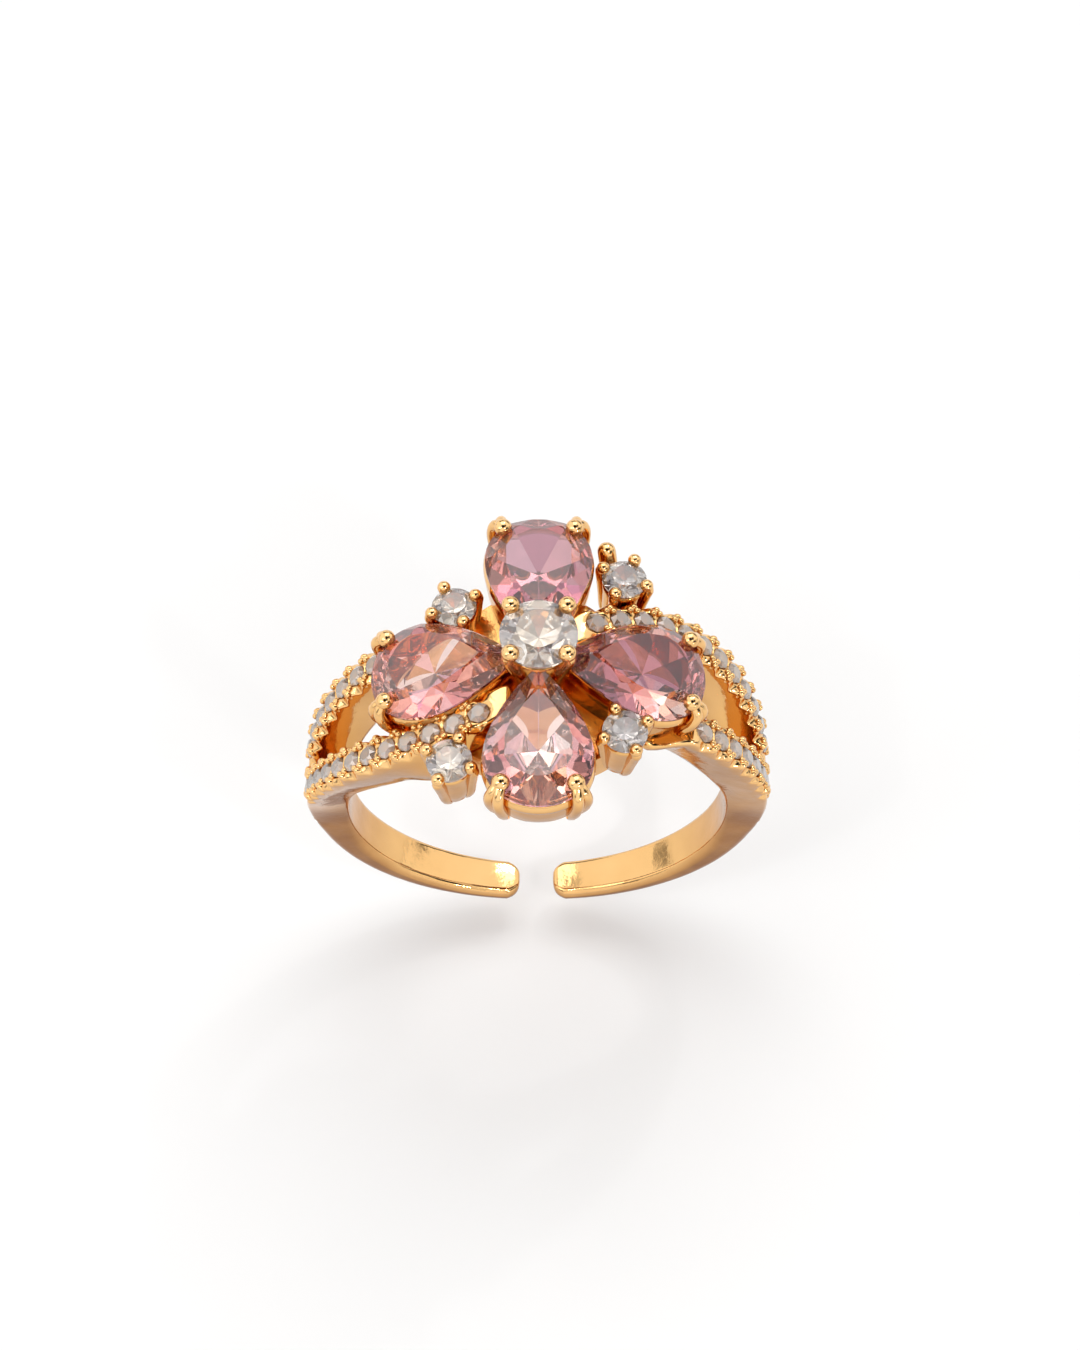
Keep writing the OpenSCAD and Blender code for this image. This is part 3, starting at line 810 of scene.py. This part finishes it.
def steeper(edge, along, inner, z, degrees):
    """Inner point of a facet that stands that much steeper than the one through inner."""
    base = Vector((edge.x, edge.y, z))
    turns = [Matrix.Rotation(math.radians(d), 3, along) for d in (degrees, -degrees)]
    return base + max((m @ (inner - base) for m in turns), key=lambda v: abs(v.z))


def brilliant_shape(outline, mains, culet_x, crown, depth, table, halves):
    """Brilliant cut with the main facets at the angles mains.

    outline(t) runs round the girdle, table is the table's share of it, and the half facets beside the
    main ones stand steeper by halves degrees.
    """
    pairs = list(zip(mains, mains[1:] + [mains[0] + 360]))
    corners = [outline(-180 + 360 * i / OUTLINE_SIDES) for i in range(OUTLINE_SIDES)]
    gem = Gem(corners, crown, -GIRDLE - depth - 0.5)
    culet = Vector((culet_x, 0, -GIRDLE - depth))

    def frame_at(t):
        t = (t + 180) % 360 - 180
        edge = outline(t)
        if abs(t) < 1:
            return edge, Vector((0, 1, 0))
        return edge, (outline(t + 0.5) - outline(t - 0.5)).normalized()

    def inward(edge, share, z):
        return Vector((mix(culet.x, edge.x, share), mix(culet.y, edge.y, share), z))

    for t in mains:
        edge, along = frame_at(t)
        facet(gem, edge, along, culet, -GIRDLE)
        facet(gem, edge, along, inward(edge, table, crown), GIRDLE)
    for t in [mix(a, b, q) for a, b in pairs for q in (0.25, 0.75)]:
        edge, along = frame_at(t)
        facet(gem, edge, along, steeper(edge, along, culet, -GIRDLE, halves), -GIRDLE)
        top = inward(edge, table, crown)
        facet(gem, edge, along, steeper(edge, along, top, GIRDLE, halves), GIRDLE)
    for a, b in pairs:
        edge, along = frame_at((a + b) / 2)
        low = inward(edge, 0.90, mix(GIRDLE, crown, 0.50))
        facet(gem, low, along, inward(edge, table * 0.97, crown), low.z)
    return gem.shape()


def round_outline(d):
    return lambda t: Vector((d / 2 * cos(t), d / 2 * sin(t), 0))


def paint_facet_light(obj, seed):
    """Stores each facet's painted light, from 0 for painted shade to 1 for a painted glint, the same for facets
    that face the same way.
    """
    layer = obj.data.attributes.new("facet_light", "FLOAT", "FACE")
    for face, item in zip(obj.data.polygons, layer.data):
        turn = math.degrees(math.atan2(face.normal.y, face.normal.x))
        item.value = 0.5 + 0.5 * sin(3 * turn + 200 * face.normal.z + 77 * seed)


# ------------------------------------------------------------------ the pieces

# Side, the end its through branch runs to, the other end, and the turn that puts it there
NAME_TURNS = (("right", "back", "front", Matrix.Identity(4)), ("left", "front", "back", HALF_TURN))


def piece(shape, name, material, matrix, nodes, smooth_below=None):
    """Makes a piece that rides on the flower's body and stands for its CAD nodes."""
    obj = shape.build(name, material, matrix, smooth_below)
    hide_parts(*nodes)
    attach(obj, "head")
    return obj


SMOOTH = 40  # degrees between faces of metal that still shade as one
BEND_FROM, BEND_TO = 0.0, 36.0  # degrees below the horizontal at which two points in the band are worked out
PLATE_EDGE_R = 0.14
EIGHTHS = [-180 + 45 * i for i in range(8)]
PEAR_MAINS = [-180, -132, -86, -42, 0, 42, 86, 132]

last_seat = SHOULDER_SEATS[-1]
row_tail = (SHOULDER_ANGLES[0] - SHOULDER_PITCH, 0.0)
long_seats, short_seats = [last_seat] + THROUGH_SEATS, [last_seat] + SIDE_SEATS
through = branch_shape(through_y, THROUGH_END, long_seats, through_drafts, THROUGH_END + 3)
through.merge(bead_shape(long_seats))
short = branch_shape(side_y, SIDE_END, short_seats, side_drafts, SIDE_STEP)
short.merge(bead_shape(short_seats))
band = band_shape()
band.merge(bead_shape([row_tail] + SHOULDER_SEATS))
petal_setting = petal_setting_shape()
accent_setting = accent_setting_shape()
pear = brilliant_shape(pear_at, PEAR_MAINS, CULET_X, crown=0.80, depth=1.70, table=0.62, halves=6.0)
accent = brilliant_shape(round_outline(ACCENT_D), EIGHTHS, 0, crown=0.32, depth=0.84, table=0.56, halves=5.0)
centre = brilliant_shape(round_outline(CENTRE_D), EIGHTHS, 0, crown=0.52, depth=1.42, table=0.57, halves=5.0)

for lateral, far, near, turn in NAME_TURNS:
    arm = band.build(f"{lateral}_band", GOLD, turn, SMOOTH)
    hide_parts(f"{lateral}_arm", f"{lateral}_shoulder")
    start, end = (turn @ on_ring(-d, FINGER_R + 0.8, 0) * MM for d in (BEND_FROM, BEND_TO))
    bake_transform(arm)
    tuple(start)
    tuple(end)
    piece(through, f"{lateral}_{far}_branch_cast", GOLD, turn, [f"{lateral}_{far}_branch"], SMOOTH)
    piece(short, f"{lateral}_{near}_branch_cast", GOLD, turn, [f"{lateral}_{near}_branch"], SMOOTH)
    for seats, name in (
        (THROUGH_SEATS, f"{lateral}_{far}_pave_stones"),
        (SIDE_SEATS, f"{lateral}_{near}_pave_stones"),
        (SHOULDER_SEATS, f"{lateral}_shoulder_pave_stones"),
    ):
        row = piece(pave_shape(seats), f"{name}_cut", SMALL_CLEAR, turn, [name])
        paint_facet_light(row, 5)

    for spin, petal, name, seed in ((0, SIDE_PETAL, lateral, 1), (90, END_PETAL, far, 2)):
        place = turn @ petal_matrix(spin, **petal)
        piece(petal_setting, f"{name}_petal_collet", GOLD, place, [f"{name}_petal_setting"], SMOOTH)
        stone = piece(pear, f"{name}_petal_cut_stone", PINK, place, [f"{name}_petal_stone"])
        paint_facet_light(stone, seed)

    for (x, y), spin, end in ((BAND_ACCENT, ACCENT_TURN, far), (SIDE_ACCENT, -ACCENT_TURN, near)):
        name = f"{end}_{lateral}_accent"
        local = accent_matrix(x, y, spin)
        setting = Shape().merge(accent_setting)
        if (x, y) == BAND_ACCENT:
            setting.merge(wire(BRIDGE), local.inverted())
        if name == "back_right_accent":
            setting.merge(wire(STAY), local.inverted())
        setting.clear_hole(local)
        piece(setting, f"{name}_cup", GOLD, turn @ local, [f"{name}_setting"], SMOOTH)
        stone = piece(accent, f"{name}_cut_stone", CLEAR, turn @ local, [f"{name}_stone"])
        paint_facet_light(stone, 3)

piece(centre_setting_shape(), "centre_claws", GOLD, Matrix.Identity(4), ["centre_setting"], SMOOTH)
place = move(0, 0, FINGER_R + CENTRE_RISE)
stone = piece(centre, "centre_cut_stone", CLEAR, place, ["centre_stone"])
paint_facet_light(stone, 4)

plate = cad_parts["gallery"]
plate.data.materials.clear()
plate.data.materials.append(CAST_GOLD)
soft = plate.modifiers.new("soft_edges", "BEVEL")
soft.width, soft.segments = PLATE_EDGE_R * MM, 3
soft.limit_method, soft.angle_limit = "ANGLE", math.radians(50)

# ------------------------------------------------------------------ studio

# The camera stands over the front of the ring, at the distance a close-up needs.
CAMERA_RANGE, CAMERA_AZIMUTH, CAMERA_ELEVATION, CAMERA_ROLL = 130.0, -0.39, 59.96, 0.58
CAMERA_TARGET = Vector((0, 0, 6))
CAMERA_SHIFT = (0.0016, 0.0393)
FRAME_HEIGHT = 61.2245  # what the frame spans at the target, from bottom to top
SENSOR = 36.0

OPEN_DROP = 1.65  # how much lower the tips hang when both arms are bent fully open
FLOOR_HALF = 2000.0


def direction(azimuth, elevation):
    return Vector((sin(azimuth) * cos(elevation), -cos(azimuth) * cos(elevation), sin(elevation)))


def area_light(name, azimuth, elevation, distance, size, power):
    """A round soft light that faces the ring."""
    light = bpy.data.lights.new(name, "AREA")
    light.shape, light.size, light.energy = "DISK", size * MM, power
    obj = bpy.data.objects.new(name, light)
    towards = direction(azimuth, elevation)
    obj.location = (CAMERA_TARGET + towards * distance) * MM
    obj.rotation_mode = "QUATERNION"
    obj.rotation_quaternion = towards.to_track_quat("Z", "Y")
    bpy.context.scene.collection.objects.link(obj)


def floor():
    """A pale paper floor that the tips reach, but do not enter, when the band is open."""
    paper, nodes, links, shader = node_material("paper")
    tone = ramp(nodes, links, noise(nodes, links, 0.02), (0.3, (0.92, 0.92, 0.92)), (0.7, (0.94, 0.94, 0.94)))
    links.new(tone, shader.inputs["Base Color"])
    shader.inputs["Roughness"].default_value = 0.6
    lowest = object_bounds()[0].z / MM - OPEN_DROP
    corners = [(x * FLOOR_HALF, y * FLOOR_HALF, 0) for x, y in ((-1, -1), (1, -1), (1, 1), (-1, 1))]
    Shape().add(corners, [[0, 1, 2, 3]]).build("floor", paper, move(0, 0, lowest))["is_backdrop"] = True


def camera():
    data = bpy.data.cameras.new("camera")
    data.sensor_width = SENSOR
    data.lens = SENSOR * CAMERA_RANGE / FRAME_HEIGHT
    data.shift_x, data.shift_y = CAMERA_SHIFT
    data.clip_start, data.clip_end = 5 * MM, 10000 * MM
    obj = bpy.data.objects.new("camera", data)
    back = direction(CAMERA_AZIMUTH, CAMERA_ELEVATION)
    obj.location = (CAMERA_TARGET + back * CAMERA_RANGE) * MM
    obj.rotation_mode = "QUATERNION"
    roll = Matrix.Rotation(math.radians(CAMERA_ROLL), 4, back)
    obj.rotation_quaternion = (roll @ back.to_track_quat("Z", "Y").to_matrix().to_4x4()).to_quaternion()
    bpy.context.scene.collection.objects.link(obj)
    bpy.context.scene.camera = obj


def surround():
    """White tent with soft patches of light and shade, and a dark opening overhead."""
    world = bpy.data.worlds.new("tent")
    world.use_nodes = True
    nodes, links = world.node_tree.nodes, world.node_tree.links
    place = nodes.new("ShaderNodeTexCoord")
    cloth = nodes.new("ShaderNodeTexNoise")
    cloth.noise_dimensions = "4D"
    cloth.inputs["W"].default_value = 3.0
    cloth.inputs["Scale"].default_value = 1.8
    cloth.inputs["Detail"].default_value = 1.0
    links.new(place.outputs["Generated"], cloth.inputs["Vector"])
    patches = ramp(
        nodes, links, cloth.outputs["Fac"],
        (0.40, (0.04, 0.04, 0.04)), (0.50, (0.98, 0.97, 0.96)), (0.7, (1.0, 1.0, 1.0)),
    )
    opening = nodes.new("ShaderNodeVectorMath")
    opening.operation = "DOT_PRODUCT"
    opening.inputs[1].default_value = direction(0, 72)
    links.new(place.outputs["Generated"], opening.inputs[0])
    overhead = opening.outputs["Value"]
    hole = ramp(nodes, links, overhead, (0.955, (1.0, 1.0, 1.0)), (0.972, (0.05, 0.04, 0.04)))
    both = nodes.new("ShaderNodeMix")
    both.data_type, both.blend_type = "RGBA", "MULTIPLY"
    both.inputs["Factor"].default_value = 1.0
    links.new(patches, both.inputs["A"])
    links.new(hole, both.inputs["B"])
    links.new(both.outputs["Result"], nodes["Background"].inputs["Color"])
    nodes["Background"].inputs["Strength"].default_value = 1.15
    bpy.context.scene.world = world


floor()
camera()
surround()
# name, azimuth, elevation, distance, size, power
for light in (
    ("key", 35, 14, 160, 9, 0.020),
    ("window", 38, 48, 160, 10, 0.020),
    ("left_spark", -42, 55, 160, 6, 0.010),
    ("back_spark", 150, 48, 160, 6, 0.010),
    ("fill", -60, 40, 200, 90, 0.035),
    ("back", 180, 56, 200, 150, 0.11),
):
    area_light(*light)

scene = bpy.context.scene
scene.view_settings.view_transform = "Standard"
scene.view_settings.look = "None"
scene.cycles.max_bounces = 16
scene.cycles.transmission_bounces = 14
scene.cycles.glossy_bounces = 10
scene.cycles.sample_clamp_indirect = 6
